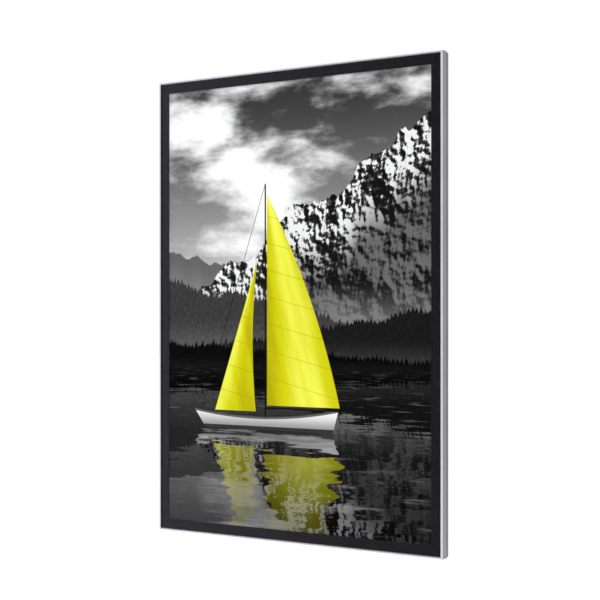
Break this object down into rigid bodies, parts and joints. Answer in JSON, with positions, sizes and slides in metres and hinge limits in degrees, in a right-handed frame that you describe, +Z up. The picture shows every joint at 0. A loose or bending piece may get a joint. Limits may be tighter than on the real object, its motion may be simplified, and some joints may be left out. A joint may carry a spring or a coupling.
{
  "type": "led poster frame",
  "caption": "Slim wall-hung light box for a standard poster: mitred aluminium rails, magnet-held clear cover with a black border, edge-lit light guide and keyhole hangers.",
  "frame": {"origin": "centre of the back plane, which lies on the wall", "axes": "+X to the right seen from the front, +Y into the wall, +Z up; the front faces -Y"},
  "size_m": [0.6298, 0.028, 0.8777],
  "materials": {
    "rail_aluminium": "satin",
    "key_steel": "satin",
    "screw_steel": "satin",
    "strip_steel": "satin",
    "hanger_steel": "satin",
    "rivet_aluminium": "satin",
    "panel_board": "matte",
    "reflector_film": "matte",
    "guide_acrylic": "gloss",
    "diffuser_plastic": "matte",
    "pad_rubber": "matte",
    "board_white": "matte",
    "chip_phosphor": "gloss",
    "connector_plastic": "satin",
    "lead_jacket": "satin",
    "clip_nylon": "satin",
    "inlet_plastic": "satin",
    "contact_metal": "polished",
    "magnet_rubber": "matte",
    "gasket_rubber": "matte",
    "cover_acrylic": "gloss",
    "border_print": "satin",
    "poster_print": "satin"
  },
  "bodies": {
    "frame": {"rail_left": "rail_aluminium", "magnet_strip_left": "magnet_rubber", "rail_right": "rail_aluminium", "magnet_strip_right": "magnet_rubber", "rail_top": "rail_aluminium", "magnet_strip_top": "magnet_rubber", "rail_bottom": "rail_aluminium", "magnet_strip_bottom": "magnet_rubber", "corner_key_bottom_left": "key_steel", "corner_key_bottom_right": "key_steel", "corner_key_top_left": "key_steel", "corner_key_top_right": "key_steel", "hanger_top_left": "hanger_steel", "hanger_top_right": "hanger_steel", "hanger_side_upper": "hanger_steel", "hanger_side_lower": "hanger_steel", "corner_screws": "screw_steel", "panel_screws": "screw_steel", "dc_inlet_screw": "screw_steel", "hanger_rivets": "rivet_aluminium", "back_panel": "panel_board", "reflector_sheet": "reflector_film", "light_guide": "guide_acrylic", "diffuser_sheet": "diffuser_plastic", "guide_edge_pads": "pad_rubber", "support_buffers": "pad_rubber", "led_board_left": "board_white", "led_board_right": "board_white", "led_chips_left": "chip_phosphor", "led_chips_right": "chip_phosphor", "led_connector_left": "connector_plastic", "led_connector_right": "connector_plastic", "lead_left": "lead_jacket", "lead_right": "lead_jacket", "lead_clips": "clip_nylon", "dc_inlet_body": "inlet_plastic", "dc_inlet_pin": "contact_metal"},
    "cover": {"cover_steel_left": "strip_steel", "cover_gasket_left": "gasket_rubber", "cover_steel_right": "strip_steel", "cover_gasket_right": "gasket_rubber", "cover_steel_top": "strip_steel", "cover_gasket_top": "gasket_rubber", "cover_steel_bottom": "strip_steel", "cover_gasket_bottom": "gasket_rubber", "cover_sheet": "cover_acrylic", "cover_border": "border_print"},
    "poster": {"poster": "poster_print"}
  },
  "joints": [
    {"name": "cover_lift", "type": "slide", "parent": "frame", "child": "cover", "axis": [0, -1, 0], "range_m": [0, 0.12]},
    {"name": "poster_lift", "type": "slide", "parent": "frame", "child": "poster", "axis": [0, -1, 0], "range_m": [0, 0.06]}
  ],
  "couplings": [
    {"joint": "poster_lift", "follows": "cover_lift", "ratio": 0.5}
  ]
}
